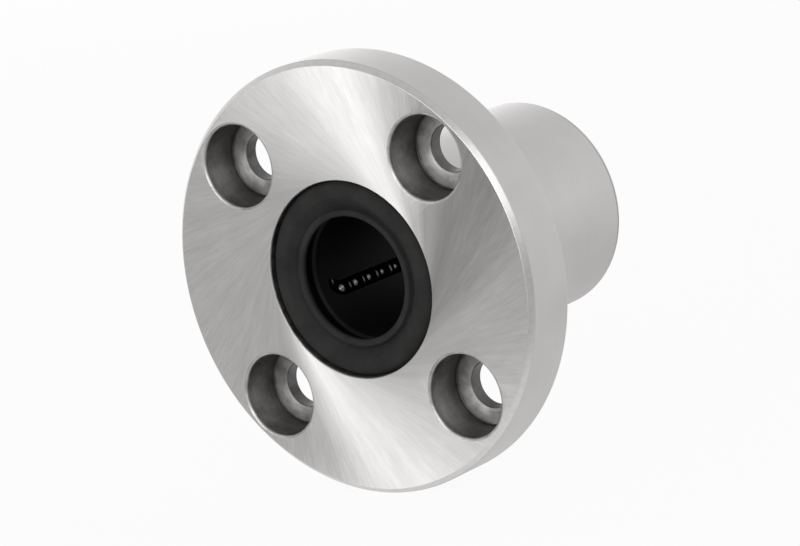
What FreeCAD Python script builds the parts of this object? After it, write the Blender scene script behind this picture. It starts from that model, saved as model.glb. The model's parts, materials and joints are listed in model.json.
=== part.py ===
"""Flanged linear ball bearing for a 12 mm shaft, as a parametric document in millimetres.

The bore axis is Y. The origin is on that axis, in the plane of the flange's seat face, which lies
against the housing. The flange's front face looks along -Y, the body runs along +Y, and +Z is up.
"""
import FreeCAD, Part
import math
import os

import Sketcher

# Driving sizes: name in the sheet, value, and what it measures (millimetres and degrees)
SIZES = [
    ("shaft_d", 12.0, "shaft, and the circle inside the loaded balls and the seal lips"),
    ("ball_d", 2.0, "ball"),
    ("ball_gap", 0.06, "least room between neighbouring balls"),
    ("ball_play", 0.05, "room around a ball in its track"),
    ("circuit_count", 4, "ball circuits around the bore"),
    ("row_angle", 20.0, "first loaded row, turned from +X towards +Z"),
    ("row_spread", 22.0, "angle from a loaded row to its return row"),
    ("return_lift", 1.2, "how much further out a return row lies than a loaded row"),
    ("sleeve_len", 30.0, "whole length of the bearing"),
    ("seat_step", 0.3, "shoulder that each end ring sits against"),
    ("wall_t", 0.95, "sleeve wall outside a seal"),
    ("tail_chamfer", 0.35, "edge at the tail end of the body"),
    ("mouth_chamfer", 0.1, "edge of each seal seat"),
    ("land_angle", 15.0, "width of a raceway land, as an angle"),
    ("land_ramp", 0.8, "ramp at each end of a raceway land"),
    ("flange_t", 6.0, "flange thickness"),
    ("rim_chamfer", 0.5, "edges of the flange rim"),
    ("bolt_count", 4, "screw holes"),
    ("bolt_angle", 45.0, "first screw hole, turned from +X towards +Z"),
    ("bolt_d", 4.5, "screw hole"),
    ("head_d", 8.0, "counterbore for a screw head"),
    ("head_depth", 4.1, "depth of that counterbore"),
    ("head_chamfer", 0.2, "edge of that counterbore"),
    ("bolt_chamfer", 0.5, "edge of a screw hole at the seat face"),
    ("body_margin", 1.5, "flange between the body's line and a counterbore"),
    ("rim_margin", 1.0, "flange between a counterbore and the rim"),
    ("cage_gap", 0.3, "room between the shaft and the retainer"),
    ("cage_play", 0.1, "room around the retainer in the sleeve"),
    ("cage_chamfer", 0.25, "edges of the retainer's bore"),
    ("end_wall", 0.8, "retainer wall past each end of a track"),
    ("ring_t", 0.8, "end ring thickness"),
    ("ring_gap", 0.7, "room between the shaft and an end ring"),
    ("seal_t", 1.6, "seal thickness"),
    ("seal_recess", 0.05, "how far a seal lies below the sleeve's end"),
    ("seal_edge", 1.1, "rounded outer edge of a seal"),
    ("skirt_w", 1.0, "skirt that slopes in from the seal's face"),
    ("skirt_round", 0.8, "rounding where the skirt leaves the seal's face"),
    ("crease_w", 0.22, "from the foot of that skirt to the bead around the lip"),
    ("crease_depth", 0.95, "depth of the crease at the foot of the skirt"),
    ("bead_w", 0.6, "width of that bead, from the shaft to its outer slope"),
    ("bead_edge", 0.15, "inner slope of that bead"),
    ("bead_recess", 0.42, "how far the bead's top lies below the seal's face"),
    ("lip_depth", 0.55, "how far the lip lies below the seal's face"),
    ("lip_w", 0.35, "width of the lip that wipes the shaft"),
]

# Worked-out sizes, as expressions of the sheet's cells
SHAFT_R = "Sizes.shaft_d / 2"
BALL_R = "Sizes.ball_d / 2"
TRACK_R = f"({BALL_R} + Sizes.ball_play)"
LOADED_R = f"({SHAFT_R} + {BALL_R})"
RETURN_R = f"({LOADED_R} + Sizes.return_lift)"
RACE_R = f"({LOADED_R} + {TRACK_R})"
CHAMBER_R = f"({RETURN_R} + {TRACK_R})"
SEAT_R = f"({CHAMBER_R} + Sizes.seat_step)"
BODY_R = f"({SEAT_R} + Sizes.wall_t)"
BOLT_CIRCLE_R = f"({BODY_R} + Sizes.body_margin + Sizes.head_d / 2)"
FLANGE_R = f"({BOLT_CIRCLE_R} + Sizes.head_d / 2 + Sizes.rim_margin)"
SEAT_DEPTH = "(Sizes.seal_recess + Sizes.seal_t + Sizes.ring_t)"
CAGE_DEPTH = f"({SEAT_DEPTH} + Sizes.cage_play)"
MIDDLE = "(Sizes.sleeve_len / 2 - Sizes.flange_t)"

# A ball track lies in a plane through its loaded row and its return row, parallel to the bore
ROW_GAP = (
    f"sqrt({LOADED_R} ^ 2 + {RETURN_R} ^ 2"
    f" - 2 * {LOADED_R} * {RETURN_R} * cos(Sizes.row_spread * 1 deg))"
)
TURN_R = f"({ROW_GAP} / 2)"
TRACK_OUT = f"({LOADED_R} * {RETURN_R} * sin(Sizes.row_spread * 1 deg) / {ROW_GAP})"
LOADED_U = f"sqrt({LOADED_R} ^ 2 - {TRACK_OUT} ^ 2)"
TURN_U = f"({LOADED_U} + {TURN_R})"
TRACK_TILT = f"(Sizes.row_angle + acos({TRACK_OUT} / {LOADED_R}) / 1 deg)"
TRACK_HALF = (
    f"(Sizes.sleeve_len / 2 - {CAGE_DEPTH} - Sizes.end_wall - {TRACK_R} - {TURN_R})"
)

# Halvings when a ball's place is searched for, and the difference that counts as none
HALVINGS = 60
NEAR = 1e-6

doc = FreeCAD.newDocument("flanged_linear_bearing")
sheet = doc.addObject("Spreadsheet::Sheet", "Sizes")
for row, (alias, size, meaning) in enumerate(SIZES, 1):
    sheet.set(f"A{row}", meaning)
    sheet.set(f"B{row}", str(size))
    sheet.setAlias(f"B{row}", alias)
doc.recompute()


def value(expression):
    """The present number of an expression of the sheet."""
    return float(sheet.evalExpression(expression))


def level(end, depth):
    """Expression of the place along the bore axis that lies a depth inside the front or rear end."""
    if end == "front":
        return f"({depth} - Sizes.flange_t)"
    return f"(Sizes.sleeve_len - Sizes.flange_t - {depth})"


def origin_feature(body, role):
    """One of a body's own origin planes or axes."""
    return next(feature for feature in body.Origin.OriginFeatures if feature.Role == role)


def new_body(label):
    """An empty body with the sub-part's name."""
    body = doc.addObject("PartDesign::Body", label)
    body.Label = label
    return body


def new_sketch(body, name, plane="XY_Plane"):
    """A sketch on one of the body's origin planes."""
    sketch = body.newObject("Sketcher::SketchObject", name)
    sketch.AttachmentSupport = (origin_feature(body, plane), "")
    sketch.MapMode = "FlatFace"
    return sketch


def turn_sketch(sketch, angle, across="0"):
    """Turn a sketch about the bore axis, from +X towards +Z, after moving it across that axis."""
    sketch.AttachmentOffset = FreeCAD.Placement(
        FreeCAD.Vector(), FreeCAD.Rotation(FreeCAD.Vector(0, 1, 0), -value(angle))
    )
    sketch.setExpression("AttachmentOffset.Rotation.Angle", f"-({angle}) * 1 deg")
    sketch.setExpression("AttachmentOffset.Base.x", f"({across}) * cos({angle} * 1 deg)")
    sketch.setExpression("AttachmentOffset.Base.z", f"({across}) * sin({angle} * 1 deg)")


def bind(sketch, constraint, expression):
    """Add a constraint whose size follows an expression."""
    index = sketch.addConstraint(constraint)
    sketch.setExpression(f"Constraints[{index}]", expression)


def draw_polygon(sketch, corners):
    """A closed run of straight lines; each corner is a pair of expressions."""
    places = [FreeCAD.Vector(value(x), value(y), 0) for x, y in corners]
    count = len(corners)
    first = sketch.GeometryCount
    for index in range(count):
        sketch.addGeometry(Part.LineSegment(places[index], places[(index + 1) % count]), False)
    for index in range(count):
        following = first + (index + 1) % count
        sketch.addConstraint(Sketcher.Constraint("Coincident", first + index, 2, following, 1))
    for index, (x, y) in enumerate(corners):
        line = first + index
        bind(sketch, Sketcher.Constraint("DistanceX", -1, 1, line, 1, places[index].x), x)
        bind(sketch, Sketcher.Constraint("DistanceY", -1, 1, line, 1, places[index].y), y)


def draw_stadium(sketch, centre_u, radius):
    """A long round-ended loop about the track's middle line, with its turns at the track's ends."""
    middle = value(MIDDLE)
    half = value(TRACK_HALF)
    across = value(centre_u)
    reach = value(radius)
    first = sketch.GeometryCount
    low = FreeCAD.Vector(across, middle - half, 0)
    high = FreeCAD.Vector(across, middle + half, 0)
    side = FreeCAD.Vector(reach, 0, 0)
    axis = FreeCAD.Vector(0, 0, 1)
    sketch.addGeometry(Part.LineSegment(low - side, high - side), False)
    sketch.addGeometry(Part.ArcOfCircle(Part.Circle(high, axis, reach), 0, math.pi), False)
    sketch.addGeometry(Part.LineSegment(high + side, low + side), False)
    sketch.addGeometry(Part.ArcOfCircle(Part.Circle(low, axis, reach), math.pi, 2 * math.pi), False)
    left, top, right, bottom = range(first, first + 4)
    sketch.addConstraint(Sketcher.Constraint("Tangent", left, 2, top, 2))
    sketch.addConstraint(Sketcher.Constraint("Tangent", top, 1, right, 1))
    sketch.addConstraint(Sketcher.Constraint("Tangent", right, 2, bottom, 2))
    sketch.addConstraint(Sketcher.Constraint("Tangent", bottom, 1, left, 1))
    bind(sketch, Sketcher.Constraint("Radius", top, reach), radius)
    for arc, along, place in (
        (top, high.y, f"{MIDDLE} + {TRACK_HALF}"),
        (bottom, low.y, f"{MIDDLE} - {TRACK_HALF}"),
    ):
        bind(sketch, Sketcher.Constraint("DistanceX", -1, 1, arc, 3, across), centre_u)
        bind(sketch, Sketcher.Constraint("DistanceY", -1, 1, arc, 3, along), place)


def revolve(body, kind, name, sketch, angle=None):
    """Turn a sketch about its own upright axis: all the way round, or by an angle either side of it."""
    feature = body.newObject(kind, name)
    feature.Profile = sketch
    feature.ReferenceAxis = (sketch, ["V_Axis"])
    feature.Angle = 360
    if angle is not None:
        feature.Midplane = True
        feature.setExpression("Angle", angle)
    return feature


def repeat(body, name, features, count):
    """Repeat features evenly around the bore axis."""
    pattern = body.newObject("PartDesign::PolarPattern", name)
    pattern.Originals = features
    pattern.Axis = (origin_feature(body, "Y_Axis"), [""])
    pattern.Angle = 360
    pattern.setExpression("Occurrences", count)
    body.Tip = pattern
    return pattern


def turned_body(label, corners):
    """A body turned about the bore axis; each corner is a radius and a place along the axis."""
    body = new_body(label)
    sketch = new_sketch(body, f"{label}_section")
    draw_polygon(sketch, corners)
    revolve(body, "PartDesign::Revolution", f"{label}_blank", sketch)
    doc.recompute()
    return body


def round_edges(feature, radius, place):
    """Names of a feature's round edges of one radius at one place along the bore axis."""
    names = []
    for number, edge in enumerate(feature.Shape.Edges, 1):
        curve = edge.Curve
        if not isinstance(curve, Part.Circle):
            continue
        if abs(curve.Radius - radius) < NEAR and abs(curve.Center.y - place) < NEAR:
            names.append(f"Edge{number}")
    return names


def require_change(body, before, grows, what):
    """Stop if a feature left the solid as it was, or changed it the wrong way."""
    doc.recompute()
    change = body.Shape.Volume - before
    if (change if grows else -change) <= NEAR:
        raise RuntimeError(f"{what} of {body.Label} changed the volume by {change:.4f}")


def make_sleeve():
    """Turned steel sleeve and flange, with its screw holes and inner raceway lands."""
    front = level("front", "0")
    rear = level("rear", "0")
    corners = [
        (f"{SEAT_R} + Sizes.mouth_chamfer", front),
        (f"{FLANGE_R} - Sizes.rim_chamfer", front),
        (FLANGE_R, level("front", "Sizes.rim_chamfer")),
        (FLANGE_R, "-Sizes.rim_chamfer"),
        (f"{FLANGE_R} - Sizes.rim_chamfer", "0"),
        (BODY_R, "0"),
        (BODY_R, level("rear", "Sizes.tail_chamfer")),
        (f"{BODY_R} - Sizes.tail_chamfer", rear),
        (f"{SEAT_R} + Sizes.mouth_chamfer", rear),
        (SEAT_R, level("rear", "Sizes.mouth_chamfer")),
        (SEAT_R, level("rear", SEAT_DEPTH)),
        (CHAMBER_R, level("rear", SEAT_DEPTH)),
        (CHAMBER_R, level("front", SEAT_DEPTH)),
        (SEAT_R, level("front", SEAT_DEPTH)),
        (SEAT_R, level("front", "Sizes.mouth_chamfer")),
    ]
    body = turned_body("flanged_sleeve", corners)

    # Raceway lands stand in from the chamber wall, with a ramp at each end, rooted in that wall
    before = body.Shape.Volume
    sketch = new_sketch(body, "land_section")
    turn_sketch(sketch, "Sizes.row_angle")
    root = f"{CHAMBER_R} + Sizes.wall_t / 2"
    draw_polygon(sketch, [
        (root, f"{MIDDLE} - {TRACK_HALF}"),
        (CHAMBER_R, f"{MIDDLE} - {TRACK_HALF}"),
        (RACE_R, f"{MIDDLE} - {TRACK_HALF} + Sizes.land_ramp"),
        (RACE_R, f"{MIDDLE} + {TRACK_HALF} - Sizes.land_ramp"),
        (CHAMBER_R, f"{MIDDLE} + {TRACK_HALF}"),
        (root, f"{MIDDLE} + {TRACK_HALF}"),
    ])
    land = revolve(body, "PartDesign::Revolution", "raceway_land", sketch, "Sizes.land_angle")
    repeat(body, "raceway_lands", [land], "Sizes.circuit_count")
    require_change(body, before, True, "raceway lands")

    # Counterbored screw holes, sunk from the front face and open at the seat face
    before = body.Shape.Volume
    sketch = new_sketch(body, "screw_hole_section")
    turn_sketch(sketch, "Sizes.bolt_angle", BOLT_CIRCLE_R)
    draw_polygon(sketch, [
        ("0", front),
        ("Sizes.head_d / 2 + Sizes.head_chamfer", front),
        ("Sizes.head_d / 2", level("front", "Sizes.head_chamfer")),
        ("Sizes.head_d / 2", level("front", "Sizes.head_depth")),
        ("Sizes.bolt_d / 2", level("front", "Sizes.head_depth")),
        ("Sizes.bolt_d / 2", "-Sizes.bolt_chamfer"),
        ("Sizes.bolt_d / 2 + Sizes.bolt_chamfer", "0"),
        ("0", "0"),
    ])
    hole = revolve(body, "PartDesign::Groove", "screw_hole", sketch)
    repeat(body, "screw_holes", [hole], "Sizes.bolt_count")
    require_change(body, before, False, "screw holes")
    return body


def make_retainer():
    """Moulded cage: a tube that clears the lands, with a closed ball track for each circuit."""
    inner = f"({SHAFT_R} + Sizes.cage_gap)"
    outer = f"({CHAMBER_R} - Sizes.cage_play)"
    front = level("front", CAGE_DEPTH)
    rear = level("rear", CAGE_DEPTH)
    corners = [
        (f"{inner} + Sizes.cage_chamfer", front),
        (outer, front),
        (outer, rear),
        (f"{inner} + Sizes.cage_chamfer", rear),
        (inner, level("rear", f"({CAGE_DEPTH} + Sizes.cage_chamfer)")),
        (inner, level("front", f"({CAGE_DEPTH} + Sizes.cage_chamfer)")),
    ]
    body = turned_body("ball_retainer", corners)

    # Keyways run the whole length, so that the cage slides in over the lands and cannot turn
    before = body.Shape.Volume
    floor = f"({RACE_R} - Sizes.cage_play)"
    side_play = f"(2 * Sizes.cage_play / {RACE_R} * 180 / pi)"
    sketch = new_sketch(body, "keyway_section")
    turn_sketch(sketch, "Sizes.row_angle")
    draw_polygon(sketch, [(floor, front), (CHAMBER_R, front), (CHAMBER_R, rear), (floor, rear)])
    keyway = revolve(
        body, "PartDesign::Groove", "keyway", sketch, f"Sizes.land_angle + {side_play}"
    )
    repeat(body, "keyways", [keyway], "Sizes.circuit_count")
    require_change(body, before, False, "keyways")

    # Each track is a round-bottomed channel, open outwards, that meets the bore on its loaded side
    before = body.Shape.Volume
    path = new_sketch(body, "track_path")
    place_in_track_plane(path)
    draw_stadium(path, TURN_U, TURN_R)
    section = new_sketch(body, "track_section", "XZ_Plane")
    section.setExpression("AttachmentOffset.Base.z", f"-({MIDDLE} - {TRACK_HALF})")
    outline = Part.Circle(loaded_place(), FreeCAD.Vector(0, 0, 1), value(TRACK_R))
    circle = section.addGeometry(outline, False)
    bind(section, Sketcher.Constraint("Radius", circle, value(TRACK_R)), TRACK_R)
    bind(section, Sketcher.Constraint("DistanceX", -1, 1, circle, 3, loaded_place().x),
         f"{LOADED_R} * cos(Sizes.row_angle * 1 deg)")
    bind(section, Sketcher.Constraint("DistanceY", -1, 1, circle, 3, loaded_place().y),
         f"{LOADED_R} * sin(Sizes.row_angle * 1 deg)")
    channel = body.newObject("PartDesign::SubtractivePipe", "track_channel")
    channel.Profile = section
    channel.Spine = (path, ["Edge1", "Edge2", "Edge3", "Edge4"])
    doc.recompute()
    mouth = new_sketch(body, "track_mouth")
    place_in_track_plane(mouth)
    draw_stadium(mouth, TURN_U, f"({TURN_R} + {TRACK_R})")
    draw_stadium(mouth, TURN_U, f"({TURN_R} - {TRACK_R})")
    opening = body.newObject("PartDesign::Pocket", "track_opening")
    opening.Profile = mouth
    opening.Reversed = True
    opening.setExpression("Length", CHAMBER_R)
    doc.recompute()
    repeat(body, "ball_tracks", [channel, opening], "Sizes.circuit_count")
    require_change(body, before, False, "ball tracks")
    return body


def loaded_place():
    """Middle of the first loaded row, as a point across the bore axis."""
    angle = math.radians(value("Sizes.row_angle"))
    return FreeCAD.Vector(math.cos(angle), math.sin(angle), 0) * value(LOADED_R)


def place_in_track_plane(sketch):
    """Put a sketch in the plane of the first ball track, its X axis from loaded to return row."""
    spin = f"(90 - {TRACK_TILT})"
    sketch.AttachmentOffset = FreeCAD.Placement(
        FreeCAD.Vector(), FreeCAD.Rotation(FreeCAD.Vector(0, 1, 0), value(spin))
    )
    sketch.setExpression("AttachmentOffset.Rotation.Angle", f"{spin} * 1 deg")
    sketch.setExpression("AttachmentOffset.Base.x", f"{TRACK_OUT} * cos({TRACK_TILT} * 1 deg)")
    sketch.setExpression("AttachmentOffset.Base.z", f"{TRACK_OUT} * sin({TRACK_TILT} * 1 deg)")


def make_end_ring(end):
    """Flat steel ring against the sleeve's shoulder, which keeps the retainer in."""
    near = level(end, "(Sizes.seal_recess + Sizes.seal_t)")
    far = level(end, SEAT_DEPTH)
    inner = f"({SHAFT_R} + Sizes.ring_gap)"
    return turned_body(f"{end}_end_ring", [(inner, near), (SEAT_R, near), (SEAT_R, far), (inner, far)])


def make_seal(end):
    """Rubber seal, its face near the sleeve's end, with a skirt that slopes in to its wiping lip."""
    def below(depth):
        return level(end, f"(Sizes.seal_recess + {depth})")

    bead_r = f"({SHAFT_R} + Sizes.bead_w)"
    crease_r = f"({bead_r} + Sizes.crease_w)"
    skirt_r = f"({crease_r} + Sizes.skirt_w)"
    corners = [
        (SEAT_R, below("Sizes.seal_t")),
        (f"{SHAFT_R} + Sizes.ring_gap", below("Sizes.seal_t")),
        (SHAFT_R, below("(Sizes.lip_depth + Sizes.lip_w)")),
        (SHAFT_R, below("Sizes.lip_depth")),
        (f"{SHAFT_R} + Sizes.bead_edge", below("Sizes.bead_recess")),
        (bead_r, below("Sizes.bead_recess")),
        (crease_r, below("Sizes.crease_depth")),
        (skirt_r, below("0")),
        (SEAT_R, below("0")),
    ]
    body = turned_body(f"{end}_seal", corners)
    for name, radius in (("seal_edge", SEAT_R), ("skirt_round", skirt_r)):
        before = body.Tip
        rounded = body.newObject("PartDesign::Fillet", f"{end}_{name}")
        rounded.Base = (before, round_edges(before, value(radius), value(below("0"))))
        rounded.setExpression("Radius", f"Sizes.{name}")
        doc.recompute()
    return body


class Track:
    """The closed line that a circuit's ball centres follow, in the plane of that circuit."""

    def __init__(self):
        self.half = value(TRACK_HALF)
        self.turn = value(TURN_R)
        self.loaded_u = value(LOADED_U)
        self.length = 4 * self.half + 2 * math.pi * self.turn

    def at(self, run):
        """Point (across, along) at a run from the middle of the loaded row."""
        run %= self.length
        bend = math.pi * self.turn
        middle_u = self.loaded_u + self.turn
        if run <= self.half:
            return self.loaded_u, run
        if run <= self.half + bend:
            angle = (run - self.half) / self.turn
            return middle_u - self.turn * math.cos(angle), self.half + self.turn * math.sin(angle)
        if run <= 3 * self.half + bend:
            return middle_u + self.turn, 2 * self.half + bend - run
        if run <= 3 * self.half + 2 * bend:
            angle = (run - 3 * self.half - bend) / self.turn
            return middle_u + self.turn * math.cos(angle), -self.half - self.turn * math.sin(angle)
        return self.loaded_u, run - self.length

    def step(self, run, pitch):
        """The next run whose point lies a straight pitch away."""
        here = self.at(run)
        low, high = run, run + 2 * pitch
        for _ in range(HALVINGS):
            guess = (low + high) / 2
            if math.dist(here, self.at(guess)) < pitch:
                low = guess
            else:
                high = guess
        return high

    def end_of(self, count, pitch):
        """Run after a number of straight steps from the middle of the loaded row."""
        run = 0.0
        for _ in range(count):
            run = self.step(run, pitch)
        return run

    def fill(self, least_pitch):
        """Runs of as many balls as fit, evenly spread, the first at the loaded row's middle."""
        count = 1
        while self.end_of(count + 1, least_pitch) <= self.length:
            count += 1
        low, high = least_pitch, 2 * least_pitch
        for _ in range(HALVINGS):
            pitch = (low + high) / 2
            if self.end_of(count, pitch) < self.length:
                low = pitch
            else:
                high = pitch
        runs = [0.0]
        for _ in range(count - 1):
            runs.append(self.step(runs[-1], low))
        return runs


def make_ball(name, track, run, circuit):
    """One ball at its place on the track of one circuit."""
    across, along = track.at(run)
    tilt = math.radians(value(TRACK_TILT))
    out = value(TRACK_OUT)
    turn = 360.0 / int(value("Sizes.circuit_count")) * circuit
    place = FreeCAD.Vector(
        out * math.cos(tilt) + across * math.sin(tilt),
        value(MIDDLE) + along,
        out * math.sin(tilt) - across * math.cos(tilt),
    )
    spin = FreeCAD.Rotation(FreeCAD.Vector(0, 1, 0), -turn)
    ball = doc.addObject("Part::Sphere", name)
    ball.Label = name
    ball.setExpression("Radius", BALL_R)
    ball.Placement = FreeCAD.Placement(spin.multVec(place), spin)
    return ball


def make_balls():
    """Every circuit's balls: one node for each loaded ball, one for the circuit's other balls."""
    track = Track()
    runs = track.fill(value("Sizes.ball_d + Sizes.ball_gap"))
    along = {run: track.at(run)[1] for run in runs}
    on_loaded_row = [run for run in runs if run <= track.half or run >= track.length - track.half]
    others = [run for run in runs if run not in on_loaded_row]
    nodes = []
    for circuit in range(int(value("Sizes.circuit_count"))):
        for number, run in enumerate(sorted(on_loaded_row, key=along.get), 1):
            nodes.append(make_ball(f"loaded_ball_{circuit + 1}_{number}", track, run, circuit))
        group = doc.addObject("Part::Compound", f"return_balls_{circuit + 1}")
        group.Label = f"return_balls_{circuit + 1}"
        group.Links = [
            make_ball(f"return_ball_{circuit + 1}_{number}", track, run, circuit)
            for number, run in enumerate(others, 1)
        ]
        nodes.append(group)
    return nodes


def check_document(nodes):
    """Stop if any object failed to build or any sub-part has no valid solid."""
    failed = [item.Name for item in doc.Objects if {"Invalid", "Error"} & set(item.State)]
    if failed:
        raise RuntimeError(f"failed objects: {failed}")
    for node in nodes:
        if node.Shape.isNull() or not node.Shape.isValid() or not node.Shape.Solids:
            raise RuntimeError(f"{node.Label} has no valid solid")


def main():
    """Build every sub-part and write each to its own file."""
    nodes = [make_sleeve(), make_retainer()]
    for end in ("front", "rear"):
        nodes.append(make_end_ring(end))
        nodes.append(make_seal(end))
    nodes += make_balls()
    doc.recompute()
    check_document(nodes)
    os.makedirs("parts", exist_ok=True)
    for node in nodes:
        node.Shape.exportStep(os.path.join("parts", f"{node.Label}.step"))
        box = node.Shape.optimalBoundingBox()
        print(
            f"{node.Label}: {len(node.Shape.Solids)} solid(s), {node.Shape.Volume:.2f} mm3,"
            f" y {box.YMin:.2f} to {box.YMax:.2f}, widest {max(box.XLength, box.ZLength):.2f} mm"
        )


main()
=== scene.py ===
"""Looks of a flanged linear ball bearing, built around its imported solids, in metres.

The bore axis is Y, the flange's front face looks along -Y, and +Z is up.
"""

import json
import math

import bmesh
import bpy
from mathutils import Matrix, Vector


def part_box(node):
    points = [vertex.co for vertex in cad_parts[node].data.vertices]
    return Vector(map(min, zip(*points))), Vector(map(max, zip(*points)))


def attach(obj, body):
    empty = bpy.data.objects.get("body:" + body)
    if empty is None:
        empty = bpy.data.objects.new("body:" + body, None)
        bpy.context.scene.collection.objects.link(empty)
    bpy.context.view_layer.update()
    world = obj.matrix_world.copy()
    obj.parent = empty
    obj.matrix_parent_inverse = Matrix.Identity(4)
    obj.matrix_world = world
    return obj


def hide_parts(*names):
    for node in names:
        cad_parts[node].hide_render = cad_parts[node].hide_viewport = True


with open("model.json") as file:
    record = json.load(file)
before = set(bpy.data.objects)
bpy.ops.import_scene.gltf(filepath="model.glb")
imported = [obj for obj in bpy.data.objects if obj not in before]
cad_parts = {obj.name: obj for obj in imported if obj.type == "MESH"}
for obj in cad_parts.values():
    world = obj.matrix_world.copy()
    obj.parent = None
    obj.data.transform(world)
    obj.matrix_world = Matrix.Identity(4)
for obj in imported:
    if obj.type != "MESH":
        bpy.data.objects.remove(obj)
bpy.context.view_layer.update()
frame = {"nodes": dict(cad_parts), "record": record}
nodes = frame["nodes"]
mounts = {mount["name"]: mount for mount in frame["record"]["mounts"]}

MM = 0.001
FULL_TURN = 2 * math.pi

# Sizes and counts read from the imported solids
sleeve_low, sleeve_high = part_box("flanged_sleeve")
FRONT = sleeve_low.y
TAIL = sleeve_high.y
FLANGE_R = sleeve_high.x
BODY_R = mounts["housing_spigot"]["dims"]["r_mm"] * MM
SHAFT_R = mounts["shaft_bore"]["dims"]["r_mm"] * MM
BOLT_COUNT = mounts["flange_bolts"]["dims"]["count"]
BOLT_CIRCLE_R = mounts["flange_bolts"]["dims"]["pcd_mm"] / 2 * MM
HOLE_R = mounts["flange_bolts"]["dims"]["hole_r_mm"] * MM
SEAT_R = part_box("front_seal")[1].x
SEAT_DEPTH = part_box("front_end_ring")[1].y - FRONT
RACE_R = min(math.hypot(v.co.x, v.co.z) for v in nodes["flanged_sleeve"].data.vertices)
CIRCUIT_COUNT = sum(name.startswith("return_balls") for name in nodes)
BALLS_IN_ROW = sum(name.startswith("loaded_ball_1_") for name in nodes)

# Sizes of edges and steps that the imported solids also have
RIM_CHAMFER = 0.5 * MM
MOUTH_CHAMFER = 0.1 * MM
TAIL_CHAMFER = 0.35 * MM
SEAT_STEP = 0.3 * MM
HEAD_R = 4.0 * MM
HEAD_DEPTH = 4.1 * MM
HEAD_CHAMFER = 0.2 * MM
BOLT_CHAMFER = 0.5 * MM
BOLT_ANGLE = math.radians(45)
LAND_ANGLE = math.radians(15)
LAND_RAMP = 0.8 * MM
RING_GAP = 0.7 * MM
SEAL_EDGE = 1.1 * MM
SKIRT_W = 1.0 * MM
SKIRT_ROUND = 0.8 * MM
CREASE_W = 0.22 * MM
CREASE_DEPTH = 0.95 * MM
BEAD_W = 0.6 * MM
BEAD_EDGE = 0.15 * MM
BEAD_RECESS = 0.42 * MM
LIP_DEPTH = 0.55 * MM
LIP_W = 0.35 * MM

# Fine rounding that deburring leaves on an edge, and that a tool leaves in a corner
BREAK = 0.07 * MM
RIM_BREAK = 0.3 * MM
CORNER = 0.12 * MM
HEAD_BREAK = 0.3 * MM
TAIL_BREAK = 0.8 * MM

# Dark edge of a counterbore's floor, a ring of painted shade where the floor meets the wall
PIT_EDGE = 0.16 * MM

# How finely round forms are divided, and the corner angle that shading keeps sharp
ARC_STEPS = 5
TURN_STEPS = 256
HOLE_STEPS = 112
LAND_STEPS = 12
SHARP_ANGLE = math.radians(40)

# How far the edge of a cutting tool and its shank reach past a face that it cuts
OVERLAP = 0.002 * MM
SHANK = 1.0 * MM

# How near to a surface a point counts as on it
TOUCH = 0.01 * MM

# Camera that matches the photograph, a picture of 800 by 546 pixels
IMAGE_WIDTH = 800
SENSOR_WIDTH = 36.0
FOCAL_PIXELS = 3707.4
VIEW_AZIMUTH = math.radians(39.613)
VIEW_ELEVATION = math.radians(10.737)
VIEW_ROLL = math.radians(-9.889)
VIEW_DISTANCE = 347.49 * MM
AIM_RIGHT = 4.715 * MM
AIM_UP = 0.648 * MM

# Finishes, as linear colours
FACE_STEEL = (0.76, 0.75, 0.74)
RIM_STEEL = (0.615, 0.605, 0.595)
BODY_STEEL = (0.64, 0.625, 0.62)
EDGE_STEEL = (0.72, 0.71, 0.70)
# Tail edge, darker than the body as painted shade along that edge
TAIL_STEEL = (0.45, 0.44, 0.435)
# Walls of the holes and the seat, and the mouth chamfers: steel darkened as painted shade in these hollows
WALL_STEEL = (0.225, 0.22, 0.217)
PIT_STEEL = (0.50, 0.49, 0.48)
RING_STEEL = (0.06, 0.06, 0.06)
# Balls, darkened as painted shade for the dark inside of the bore
BALL_STEEL = (0.12, 0.12, 0.124)
# Black resin, made darker still as painted shade inside the bore
CAGE_RESIN = (0.004, 0.004, 0.0043)
SEAL_RUBBER = (0.028, 0.0272, 0.0268)
PALE_FLOOR = (0.74, 0.74, 0.74)
WHITE = (1.0, 1.0, 1.0)

# What noise mostly stays between, in streaks and tool lines, and in clouds and grain
LINE_SPAN = (0.25, 0.75)
CLOUD_SPAN = (0.3, 0.7)


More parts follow.
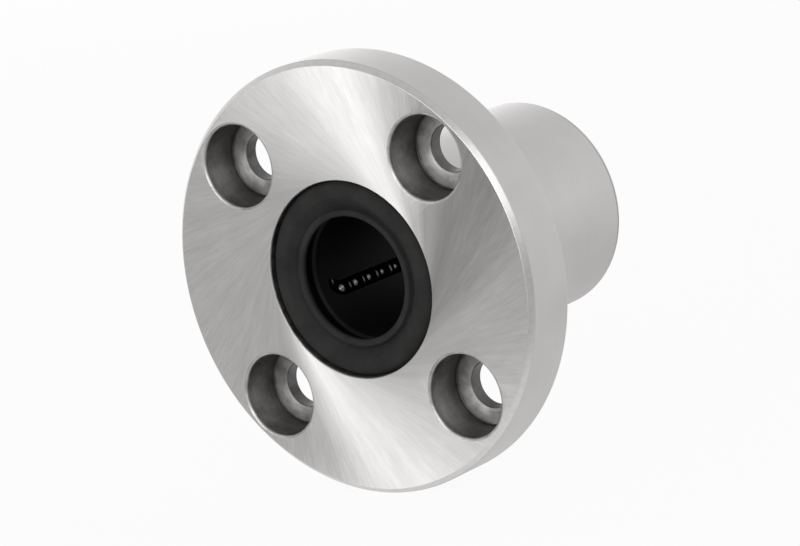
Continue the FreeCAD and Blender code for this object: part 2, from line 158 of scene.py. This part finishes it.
class Graph:
    """The node tree of a material or a world, and short ways to add its nodes.

    Lengths in a finish are in millimetres, apart from the depth of a bump.
    """

    def __init__(self, owner, shader="Principled BSDF"):
        owner.use_nodes = True
        self.owner = owner
        self.tree = owner.node_tree
        self.shader = self.tree.nodes[shader]

    def add(self, kind, inputs, output=0, **settings):
        """A node with its settings and inputs, each a number, a vector or another node's output."""
        node = self.tree.nodes.new(kind)
        for key, setting in settings.items():
            setattr(node, key, setting)
        for key, source in inputs.items():
            self.feed(node.inputs[key], source)
        return node.outputs[output]

    def feed(self, socket, source):
        """Link an output to a socket, or set the socket's own value."""
        if isinstance(source, bpy.types.NodeSocket):
            self.tree.links.new(source, socket)
        else:
            socket.default_value = source

    def set(self, **inputs):
        """Set or link the shader's inputs; an underscore in a name stands for a space."""
        for key, source in inputs.items():
            self.feed(self.shader.inputs[key.replace("_", " ")], source)

    def math(self, operation, first, second=0.0):
        return self.add("ShaderNodeMath", {0: first, 1: second}, operation=operation)

    def vector(self, operation, first, second=(0.0, 0.0, 0.0)):
        return self.add("ShaderNodeVectorMath", {0: first, 1: second}, operation=operation)

    def scaled(self, vector, factor):
        return self.add("ShaderNodeVectorMath", {0: vector, "Scale": factor}, operation="SCALE")

    def length(self, vector):
        return self.add("ShaderNodeVectorMath", {0: vector}, output=1, operation="LENGTH")

    def parts(self, vector):
        node = self.tree.nodes.new("ShaderNodeSeparateXYZ")
        self.feed(node.inputs[0], vector)
        return node.outputs

    def joined(self, x, y, z):
        return self.add("ShaderNodeCombineXYZ", {0: x, 1: y, 2: z})

    def place(self):
        """The surface point in the object's own frame, in millimetres."""
        return self.scaled(self.add("ShaderNodeTexCoord", {}, output=3), 1 / MM)

    def flattened(self, place):
        """A place with its part along the bore axis taken out."""
        return self.vector("MULTIPLY", place, (1, 0, 1))

    def seen(self):
        """One for what the camera sees, straight or through glass, and nothing for the rest."""
        path = self.tree.nodes.new("ShaderNodeLightPath").outputs
        return self.math("MAXIMUM", path["Is Camera Ray"], path["Is Transmission Ray"])

    def noise(self, vector, scale, detail=3.0, roughness=0.6):
        inputs = {"Vector": vector, "Scale": scale, "Detail": detail, "Roughness": roughness}
        return self.add("ShaderNodeTexNoise", inputs)

    def ranged(self, value, low, high, to_low, to_high):
        """A value mapped from one range to another, held at the ends."""
        inputs = {"Value": value, "From Min": low, "From Max": high, "To Min": to_low, "To Max": to_high}
        return self.add("ShaderNodeMapRange", inputs)

    def tinted(self, colour, factor):
        """A colour made darker or lighter by a factor."""
        return self.scaled(self.joined(*colour), factor)

    def bump(self, height, strength, depth):
        return self.add("ShaderNodeBump", {"Height": height, "Strength": strength, "Distance": depth})


def ground_face_steel():
    """Flange face: ground in long straight passes that skirt the bore, so its lay sweeps round.

    Streaks are calmer beside the mouth, and passes that lie one way are darkened as painted shade.
    """
    lay_r = 9.0
    most_lean = 0.999
    streak_drift = 0.007
    calm_band = (10.0, 14.0)
    calm_share = 0.25
    # Passes that lie near this lay get painted shade, a darker wedge of the face
    painted_shade_angle = math.radians(57)
    painted_shade_lay = (math.cos(painted_shade_angle), 0, math.sin(painted_shade_angle))
    painted_shade_band = (0.88, 1.0)
    painted_shade_tone = 0.68
    graph = Graph(bpy.data.materials.new("ground_face_steel"))
    place = graph.place()
    flat = graph.flattened(place)
    radius = graph.length(flat)
    outward = graph.vector("NORMALIZE", flat)
    around = graph.vector("CROSS_PRODUCT", (0, -1, 0), outward)
    lean = graph.math("MINIMUM", graph.math("DIVIDE", lay_r, radius), most_lean)
    rise = graph.math("SQRT", graph.math("SUBTRACT", 1.0, graph.math("MULTIPLY", lean, lean)))
    lay = graph.vector("ADD", graph.scaled(outward, rise), graph.scaled(around, lean))
    passed = graph.math("MULTIPLY", radius, rise)
    drift = graph.joined(0.0, graph.math("MULTIPLY", passed, streak_drift), 0.0)
    streak_place = graph.vector("ADD", lay, drift)
    fine = graph.noise(streak_place, scale=62.0)
    broad = graph.noise(streak_place, scale=9.0, roughness=0.55)
    cloud = graph.noise(place, scale=0.16, detail=2.0, roughness=0.5)
    calm = graph.ranged(radius, *calm_band, calm_share, 1.0)
    fine_part = graph.math("MULTIPLY", graph.ranged(fine, *LINE_SPAN, -0.08, 0.08), calm)
    broad_part = graph.ranged(broad, *LINE_SPAN, -0.11, 0.11)
    cloud_part = graph.ranged(cloud, *CLOUD_SPAN, 0.97, 1.03)
    # Painted shade on the passes that lie near the shaded lay
    likeness = graph.add("ShaderNodeVectorMath", {0: lay, 1: painted_shade_lay}, output=1, operation="DOT_PRODUCT")
    tone = graph.math("MULTIPLY", cloud_part, graph.ranged(likeness, *painted_shade_band, 1.0, painted_shade_tone))
    shade = graph.math("ADD", graph.math("ADD", fine_part, broad_part), tone)
    graph.set(
        Base_Color=graph.tinted(FACE_STEEL, shade),
        Metallic=1.0,
        Roughness=graph.ranged(broad, *LINE_SPAN, 0.49, 0.57),
        Anisotropic=0.95,
        Tangent=graph.vector("CROSS_PRODUCT", (0, 1, 0), lay),
        Normal=graph.bump(fine, strength=0.25, depth=0.004 * MM),
    )
    return graph.owner


def turned_steel(name, colour, roughness, pitch):
    """Round surface with fine tool lines around the axis."""
    line_tone = 0.03
    line_roughness = 0.03
    graph = Graph(bpy.data.materials.new(name))
    place = graph.place()
    outward = graph.vector("NORMALIZE", graph.flattened(place))
    along = graph.parts(place)[1]
    lines_place = graph.vector("ADD", outward, graph.joined(0.0, graph.math("DIVIDE", along, pitch), 0.0))
    lines = graph.noise(lines_place, scale=1.0)
    cloud = graph.noise(place, scale=0.18, detail=2.0, roughness=0.5)
    lines_part = graph.ranged(lines, *LINE_SPAN, -line_tone, line_tone)
    shade = graph.math("ADD", lines_part, graph.ranged(cloud, *CLOUD_SPAN, 0.97, 1.03))
    graph.set(
        Base_Color=graph.tinted(colour, shade),
        Metallic=1.0,
        Roughness=graph.ranged(lines, *LINE_SPAN, roughness - line_roughness, roughness + line_roughness),
        Anisotropic=0.6,
        Tangent=graph.joined(0.0, 1.0, 0.0),
        Normal=graph.bump(lines, strength=0.2, depth=0.003 * MM),
    )
    return graph.owner


def bored_steel(name, colour, floor):
    """Wall or floor of a screw hole, with the drill's rings; a wall carries painted shade, darker down to the
    floor and less dark in the through hole.
    """
    # Painted shade on a wall: its tone at the mouth, at the floor, and the least of it in the through hole
    mouth_tone = 1.15
    painted_wall_shade_tone = 0.42
    painted_wall_shade_span = ((FRONT + HEAD_DEPTH / 4) / MM, (FRONT + HEAD_DEPTH) / MM)
    inner_tone = 0.64
    inner_r = (HOLE_R + HEAD_R) / 2 / MM
    centre = BOLT_CIRCLE_R / MM * math.cos(BOLT_ANGLE)
    graph = Graph(bpy.data.materials.new(name))
    place = graph.place()
    flat = graph.flattened(place)
    from_axis = graph.vector("SUBTRACT", flat, graph.scaled(graph.vector("SIGN", flat), centre))
    along = graph.parts(place)[1]
    away = graph.length(from_axis)
    rings = graph.noise(graph.joined(away if floor else along, 0.0, 0.0), scale=9.0)
    cloud = graph.noise(place, scale=0.9)
    rings_part = graph.ranged(rings, *LINE_SPAN, -0.32, 0.32)
    shade = graph.math("ADD", rings_part, graph.ranged(cloud, *CLOUD_SPAN, 0.75, 1.25))
    # Painted shade, growing darker down the wall towards the floor
    if not floor:
        outer = graph.ranged(along, *painted_wall_shade_span, mouth_tone, painted_wall_shade_tone)
        inner = graph.math("MULTIPLY", graph.math("LESS_THAN", away, inner_r), inner_tone)
        shade = graph.math("MULTIPLY", shade, graph.math("MAXIMUM", outer, inner))
    graph.set(
        Base_Color=graph.tinted(colour, shade),
        Metallic=1.0,
        Roughness=graph.ranged(cloud, *CLOUD_SPAN, 0.36, 0.46),
        Anisotropic=0.5,
        Tangent=from_axis if floor else graph.joined(0.0, 1.0, 0.0),
        Normal=graph.bump(rings, strength=0.35, depth=0.01 * MM),
    )
    return graph.owner


def edge_steel():
    """Small deburred edges, smoother than the faces beside them."""
    graph = Graph(bpy.data.materials.new("edge_steel"))
    wear = graph.noise(graph.place(), scale=1.6)
    graph.set(
        Base_Color=graph.tinted(EDGE_STEEL, graph.ranged(wear, *CLOUD_SPAN, 0.94, 1.05)),
        Metallic=1.0,
        Roughness=graph.ranged(wear, *CLOUD_SPAN, 0.28, 0.32),
    )
    return graph.owner


def stamped_steel():
    """End rings, rolled and stamped, with the rolling's grain across them."""
    grain_stretch = (0.6, 1.0, 9.0)
    graph = Graph(bpy.data.materials.new("stamped_steel"))
    grain = graph.noise(graph.vector("MULTIPLY", graph.place(), grain_stretch), scale=1.0)
    graph.set(
        Base_Color=graph.tinted(RING_STEEL, graph.ranged(grain, *CLOUD_SPAN, 0.92, 1.08)),
        Metallic=1.0,
        Roughness=graph.ranged(grain, *CLOUD_SPAN, 0.3, 0.42),
        Normal=graph.bump(grain, strength=0.2, depth=0.005 * MM),
    )
    return graph.owner


def ball_steel():
    """Lapped balls, almost a mirror, with a trace of oil haze; their steel and edge tint are darkened as
    painted shade for the dark inside of the bore.
    """
    graph = Graph(bpy.data.materials.new("ball_steel"))
    haze = graph.noise(graph.place(), scale=1.4, detail=2.0, roughness=0.5)
    graph.set(
        Base_Color=graph.tinted(BALL_STEEL, graph.ranged(haze, *CLOUD_SPAN, 0.96, 1.02)),
        Metallic=1.0,
        Roughness=graph.ranged(haze, *CLOUD_SPAN, 0.13, 0.20),
        Specular_Tint=(0.25, 0.25, 0.25, 1.0),
    )
    return graph.owner


def cage_resin():
    """Moulded black resin with a fine spark-eroded texture, its black deepened as painted shade inside the
    bore.
    """
    graph = Graph(bpy.data.materials.new("cage_resin"))
    place = graph.place()
    grain = graph.noise(place, scale=9.0)
    cloud = graph.noise(place, scale=0.5, detail=2.0, roughness=0.5)
    graph.set(
        Base_Color=graph.tinted(CAGE_RESIN, graph.ranged(cloud, *CLOUD_SPAN, 0.8, 1.25)),
        Roughness=graph.ranged(grain, *CLOUD_SPAN, 0.42, 0.58),
        Specular_IOR_Level=0.15,
        Normal=graph.bump(grain, strength=0.2, depth=0.01 * MM),
    )
    return graph.owner


def seal_rubber():
    """Moulded rubber: matt, finely grained, with a few specks of dust."""
    speck_edge = (0.035, 0.06)
    speck_tone = 2.2
    graph = Graph(bpy.data.materials.new("seal_rubber"))
    place = graph.place()
    grain = graph.noise(place, scale=11.0, detail=4.0, roughness=0.65)
    cloud = graph.noise(place, scale=0.35, roughness=0.55)
    cells = graph.add("ShaderNodeTexVoronoi", {"Vector": place, "Scale": 1.7})
    dust = graph.ranged(cells, *speck_edge, speck_tone, 0.0)
    shade = graph.math("ADD", graph.ranged(cloud, *CLOUD_SPAN, 0.82, 1.2), dust)
    graph.set(
        Base_Color=graph.tinted(SEAL_RUBBER, shade),
        Roughness=graph.ranged(grain, *CLOUD_SPAN, 0.72, 0.86),
        Specular_IOR_Level=0.06,
        Normal=graph.bump(grain, strength=0.3, depth=0.02 * MM),
    )
    return graph.owner


def rounded(outline, loop=True):
    """An outline with its corners rounded.

    Each corner is a radius, a place along the axis, its rounding, and the zone of the line from there on.
    """
    rounded_outline = []
    count = len(outline)
    for index, (radius, along, rounding, zone) in enumerate(outline):
        at_end = not loop and index in (0, count - 1)
        if at_end or rounding == 0:
            rounded_outline.append((radius, along, zone))
            continue
        corner = Vector((radius, along))
        back = (Vector(outline[index - 1][:2]) - corner).normalized()
        ahead = (Vector(outline[(index + 1) % count][:2]) - corner).normalized()
        half = back.angle(ahead) / 2
        centre = corner + (back + ahead).normalized() * rounding / math.sin(half)
        first = corner + back * rounding / math.tan(half) - centre
        sweep = first.angle_signed(corner + ahead * rounding / math.tan(half) - centre)
        for step in range(ARC_STEPS + 1):
            spoke = first.copy()
            spoke.rotate(Matrix.Rotation(-sweep * step / ARC_STEPS, 2))
            point = centre + spoke
            rounded_outline.append((point.x, point.y, zone))
    return rounded_outline


def turned(name, outline, materials, loop=True, start=0.0, sweep=FULL_TURN, steps=TURN_STEPS):
    """A closed mesh turned about the bore axis from an outline of radius, place along the axis and zone."""
    whole = sweep == FULL_TURN
    stations = steps if whole else steps + 1
    count = len(outline)
    built = bmesh.new()
    rings = []
    for station in range(stations):
        angle = start + sweep * station / steps
        side = Vector((math.cos(angle), 0, math.sin(angle)))
        rings.append([built.verts.new(side * radius + Vector((0, along, 0))) for radius, along, _ in outline])
    for station in range(steps):
        here = rings[station]
        there = rings[(station + 1) % stations]
        for index in range(count if loop else count - 1):
            following = (index + 1) % count
            face = built.faces.new((here[index], here[following], there[following], there[index]))
            face.material_index = outline[index][2]
    if not loop:
        for index in (0, count - 1):
            built.faces.new([ring[index] for ring in rings])
    if not whole:
        for ring in (rings[0], rings[-1]):
            built.faces.new(ring)
    bmesh.ops.recalc_face_normals(built, faces=built.faces)
    mesh = bpy.data.meshes.new(name)
    built.to_mesh(mesh)
    built.free()
    for material in materials:
        mesh.materials.append(material)
    piece = bpy.data.objects.new(name, mesh)
    bpy.context.scene.collection.objects.link(piece)
    return piece


def combine(piece, tools, operation):
    """Cut tools out of a piece, or join them on, and drop the tools."""
    joined = bmesh.new()
    for tool in tools:
        joined.from_mesh(tool.data)
    joined.to_mesh(tools[0].data)
    joined.free()
    modifier = piece.modifiers.new("combine", "BOOLEAN")
    modifier.operation = operation
    modifier.solver = "EXACT"
    modifier.object = tools[0]
    evaluated = piece.evaluated_get(bpy.context.evaluated_depsgraph_get())
    mesh = bpy.data.meshes.new_from_object(evaluated)
    piece.modifiers.clear()
    piece.data = mesh
    for tool in tools:
        bpy.data.objects.remove(tool)


def smooth(piece):
    """Shade a piece smoothly, with its flats kept flat and its sharp corners kept sharp."""
    piece.data.polygons.foreach_set("use_smooth", [True] * len(piece.data.polygons))
    piece.data.set_sharp_from_angle(angle=SHARP_ANGLE)
    modifier = piece.modifiers.new("flats", "WEIGHTED_NORMAL")
    modifier.mode = "FACE_AREA"
    modifier.weight = 100
    modifier.keep_sharp = True


def make_sleeve():
    """Sleeve and flange, with rounded edges, screw holes and raceway lands."""
    materials = [
        ground_face_steel(),
        turned_steel("turned_rim_steel", RIM_STEEL, roughness=0.40, pitch=0.12),
        turned_steel("ground_body_steel", BODY_STEEL, roughness=0.42, pitch=0.10),
        edge_steel(),
        turned_steel("tail_edge_steel", TAIL_STEEL, roughness=0.42, pitch=0.10),
        # Darkened wall steel, painted shade on hole walls, the seat wall and both mouth chamfers
        bored_steel("bored_wall_steel", WALL_STEEL, floor=False),
        bored_steel("bored_floor_steel", PIT_STEEL, floor=True),
    ]
    face, rim, body, edge, tail, wall, pit = range(len(materials))
    chamber_r = SEAT_R - SEAT_STEP
    outline = rounded([
        (SEAT_R + MOUTH_CHAMFER, FRONT, BREAK, face),
        (FLANGE_R - RIM_CHAMFER, FRONT, BREAK, edge),
        (FLANGE_R, FRONT + RIM_CHAMFER, RIM_BREAK, rim),
        (FLANGE_R, -RIM_CHAMFER, BREAK, edge),
        (FLANGE_R - RIM_CHAMFER, 0, BREAK, face),
        (BODY_R, 0, CORNER, body),
        (BODY_R, TAIL - TAIL_CHAMFER, TAIL_BREAK, tail),
        (BODY_R - TAIL_CHAMFER, TAIL, BREAK, face),
        (SEAT_R + MOUTH_CHAMFER, TAIL, BREAK, wall),
        (SEAT_R, TAIL - MOUTH_CHAMFER, BREAK, wall),
        (SEAT_R, TAIL - SEAT_DEPTH, BREAK, wall),
        (chamber_r, TAIL - SEAT_DEPTH, BREAK, wall),
        (chamber_r, FRONT + SEAT_DEPTH, BREAK, wall),
        (SEAT_R, FRONT + SEAT_DEPTH, BREAK, wall),
        (SEAT_R, FRONT + MOUTH_CHAMFER, BREAK, wall),
    ])
    sleeve = turned("steel_sleeve", outline, materials)

    # Counterbored screw holes, their edges broken at both faces
    floor = FRONT + HEAD_DEPTH
    reach = HEAD_R + 2 * HEAD_CHAMFER
    hole = rounded([
        (reach, FRONT, 0, pit),
        (HEAD_R + HEAD_CHAMFER, FRONT, HEAD_BREAK, pit),
        (HEAD_R, FRONT + HEAD_CHAMFER, HEAD_BREAK, wall),
        (HEAD_R, floor, CORNER, wall),
        (HEAD_R - PIT_EDGE, floor, 0, pit),
        (HOLE_R, floor, BREAK, wall),
        (HOLE_R, -BOLT_CHAMFER, BREAK, edge),
        (HOLE_R + BOLT_CHAMFER, 0, BREAK, edge),
        (reach, 0, 0, edge),
    ], loop=False)[1:-1]
    hole[0] = (hole[0][0], FRONT - OVERLAP, pit)
    hole[-1] = (hole[-1][0], OVERLAP, edge)
    above = (hole[0][0], FRONT - SHANK, pit)
    below = (hole[-1][0], SHANK, edge)
    tools = []
    for number in range(BOLT_COUNT):
        tool = turned("hole", [above, *hole, below], materials, loop=False, steps=HOLE_STEPS)
        angle = BOLT_ANGLE + FULL_TURN * number / BOLT_COUNT
        side = Vector((math.cos(angle), 0, math.sin(angle)))
        tool.data.transform(Matrix.Translation(side * BOLT_CIRCLE_R))
        tools.append(tool)
    combine(sleeve, tools, "DIFFERENCE")

    # Raceway lands, centred on the loaded ball rows and rooted in the chamber wall
    race = [
        vertex.co.y
        for vertex in nodes["flanged_sleeve"].data.vertices
        if math.hypot(vertex.co.x, vertex.co.z) < RACE_R + TOUCH
    ]
    root_r = (chamber_r + BODY_R) / 2
    ramp = LAND_RAMP * (root_r - RACE_R) / (chamber_r - RACE_R)
    land = [
        (root_r, min(race) - ramp, body),
        (RACE_R, min(race), body),
        (RACE_R, max(race), body),
        (root_r, max(race) + ramp, body),
    ]
    tools = []
    middle_ball = (BALLS_IN_ROW + 1) // 2
    for circuit in range(1, CIRCUIT_COUNT + 1):
        low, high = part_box(f"loaded_ball_{circuit}_{middle_ball}")
        middle = (low + high) / 2
        start = math.atan2(middle.z, middle.x) - LAND_ANGLE / 2
        tools.append(turned("land", land, materials, start=start, sweep=LAND_ANGLE, steps=LAND_STEPS))
    combine(sleeve, tools, "UNION")
    smooth(sleeve)
    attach(sleeve, "housing")
    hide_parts("flanged_sleeve")


def make_seal(end, material):
    """Rubber seal with a soft outer edge, a skirt that slopes in, and a bead about its wiping lip."""
    low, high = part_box(f"{end}_seal")
    face, inward = (low.y, 1) if end == "front" else (high.y, -1)
    thickness = high.y - low.y
    bead_r = SHAFT_R + BEAD_W
    crease_r = bead_r + CREASE_W
    sections = [
        (SEAT_R, thickness, BREAK),
        (SHAFT_R + RING_GAP, thickness, BREAK),
        (SHAFT_R, LIP_DEPTH + LIP_W, BREAK),
        (SHAFT_R, LIP_DEPTH, BREAK),
        (SHAFT_R + BEAD_EDGE, BEAD_RECESS, BREAK),
        (bead_r, BEAD_RECESS, CORNER),
        (crease_r, CREASE_DEPTH, BREAK),
        (crease_r + SKIRT_W, 0, SKIRT_ROUND),
        (SEAT_R, 0, SEAL_EDGE),
    ]
    outline = rounded([(radius, face + inward * depth, rounding, 0) for radius, depth, rounding in sections])
    seal = turned(f"{end}_rubber_seal", outline, [material])
    smooth(seal)
    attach(seal, "housing")
    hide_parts(f"{end}_seal")


def dress(names, material):
    """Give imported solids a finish."""
    for name in names:
        mesh = nodes[name].data
        mesh.materials.clear()
        mesh.materials.append(material)


def make_floor():
    """Pale floor under the flange rim, which keeps a soft shadow.

    The camera sees it as white. Reflections see it glow as a painted reflection: less before the flange and
    least at its right, and less in a strip behind the flange under the body, where more of its real shadow
    shows.
    """
    half = 2.0
    camera_share = 0.93
    mirror_share = 0.7
    shade_share = 0.42
    shade_start = (15 * MM, 35 * MM)
    shade_side = (30 * MM, 70 * MM)
    # Glow in reflections, a painted reflection: behind the flange's face, and before it at the left and at
    # the right
    behind_glow = 0.98
    left_glow = 0.66
    right_glow = 0.42
    front_edge = (-24 * MM, -8 * MM)
    left_to_right = (-30 * MM, 30 * MM)
    mesh = bpy.data.meshes.new("floor")
    corners = [(-half, -half, 0), (half, -half, 0), (half, half, 0), (-half, half, 0)]
    mesh.from_pydata(corners, [], [(0, 1, 2, 3)])
    floor = bpy.data.objects.new("floor", mesh)
    floor.location.z = -FLANGE_R
    bpy.context.scene.collection.objects.link(floor)
    graph = Graph(bpy.data.materials.new("pale_floor"))
    graph.set(Base_Color=(*PALE_FLOOR, 1.0), Roughness=0.9, Specular_IOR_Level=0.1)
    seen = graph.seen()
    mirrored = graph.tree.nodes.new("ShaderNodeLightPath").outputs["Is Glossy Ray"]
    aside, depth, _ = graph.parts(graph.add("ShaderNodeTexCoord", {}, output=3))
    behind = graph.ranged(depth, *shade_start, mirror_share, shade_share)
    beside = graph.ranged(graph.math("ABSOLUTE", aside), *shade_side, shade_share, mirror_share)
    mirror_part = graph.math("MULTIPLY", mirrored, graph.math("MAXIMUM", behind, beside))
    share = graph.math("MAXIMUM", graph.math("MULTIPLY", seen, camera_share), mirror_part)
    before = graph.ranged(aside, *left_to_right, left_glow, right_glow)
    shine = graph.math("MAXIMUM", seen, graph.ranged(depth, *front_edge, before, behind_glow))
    glow = graph.add("ShaderNodeEmission", {"Color": (*WHITE, 1.0), "Strength": shine})
    mixed = graph.add("ShaderNodeMixShader", {0: share, 1: graph.shader.outputs[0], 2: glow})
    graph.feed(graph.tree.nodes["Material Output"].inputs["Surface"], mixed)
    mesh.materials.append(graph.owner)


def area_light(name, turn, rise, distance, spread, height, radiance):
    """A soft box of a given brightness that faces the middle of the flange's front.

    Its turn to the right of that front, its rise above level, its spread and its height are in degrees.
    """
    turn = math.radians(turn)
    rise = math.radians(rise)
    away = Vector((math.sin(turn), -math.cos(turn), 0)) * math.cos(rise)
    away.z = math.sin(rise)
    data = bpy.data.lights.new(name, "AREA")
    data.shape = "RECTANGLE"
    data.size = 2 * distance * math.tan(math.radians(spread) / 2)
    data.size_y = 2 * distance * math.tan(math.radians(height) / 2)
    data.energy = radiance * math.pi * data.size * data.size_y
    lamp = bpy.data.objects.new(name, data)
    lamp.location = Vector((0, FRONT, 0)) + away * distance
    lamp.rotation_euler = away.to_track_quat("Z", "Y").to_euler()
    lamp.visible_camera = False
    bpy.context.scene.collection.objects.link(lamp)


def make_light():
    """A white tent, and soft boxes: two before the flange's face, one at its right and one behind it.

    The camera sees the tent as white. It lights the part less from the front and from high up.
    """
    front_glow = 0.53
    back_glow = 0.92
    front_to_back = (-0.8, 0.1)
    high_share = 0.87
    low_to_high = (0.15, 0.65)
    tent = Graph(bpy.data.worlds.new("tent"), "Background")
    bpy.context.scene.world = tent.owner
    _, depth, height = tent.parts(tent.add("ShaderNodeTexCoord", {}))
    level_shine = tent.ranged(depth, *front_to_back, front_glow, back_glow)
    shine = tent.math("MULTIPLY", level_shine, tent.ranged(height, *low_to_high, 1.0, high_share))
    tent.set(Color=(*WHITE, 1.0), Strength=tent.math("MAXIMUM", shine, tent.seen()))
    area_light("key", turn=8.5, rise=9, distance=0.40, spread=41, height=20, radiance=2.15)
    area_light("left", turn=-15, rise=9, distance=0.42, spread=36, height=33, radiance=1.85)
    area_light("right", turn=46, rise=27, distance=0.45, spread=28, height=30, radiance=1.1)
    area_light("back", turn=-140, rise=10, distance=0.60, spread=40, height=30, radiance=0.9)


def make_camera():
    """Camera at the photograph's place, aimed near the middle of the flange face."""
    level_right = Vector((math.cos(VIEW_AZIMUTH), math.sin(VIEW_AZIMUTH), 0))
    towards = Vector((level_right.y, -level_right.x, 0)) * math.cos(VIEW_ELEVATION)
    towards.z = math.sin(VIEW_ELEVATION)
    turn = Matrix.Rotation(VIEW_ROLL, 3, towards)
    right = turn @ level_right
    up = turn @ towards.cross(level_right)
    place = Vector((0, FRONT, 0)) + towards * VIEW_DISTANCE + right * AIM_RIGHT + up * AIM_UP
    data = bpy.data.cameras.new("camera")
    data.sensor_width = SENSOR_WIDTH
    data.lens = FOCAL_PIXELS * SENSOR_WIDTH / IMAGE_WIDTH
    camera = bpy.data.objects.new("camera", data)
    camera.matrix_world = Matrix.Translation(place) @ Matrix((right, up, towards)).transposed().to_4x4()
    bpy.context.scene.collection.objects.link(camera)
    bpy.context.scene.camera = camera


make_camera()
make_sleeve()
rubber = seal_rubber()
for end in ("front", "rear"):
    make_seal(end, rubber)
dress(["ball_retainer"], cage_resin())
dress(["front_end_ring", "rear_end_ring"], stamped_steel())
dress([name for name in nodes if name.startswith(("loaded_ball", "return_balls"))], ball_steel())
make_floor()
make_light()
bpy.context.scene.view_settings.view_transform = "Standard"
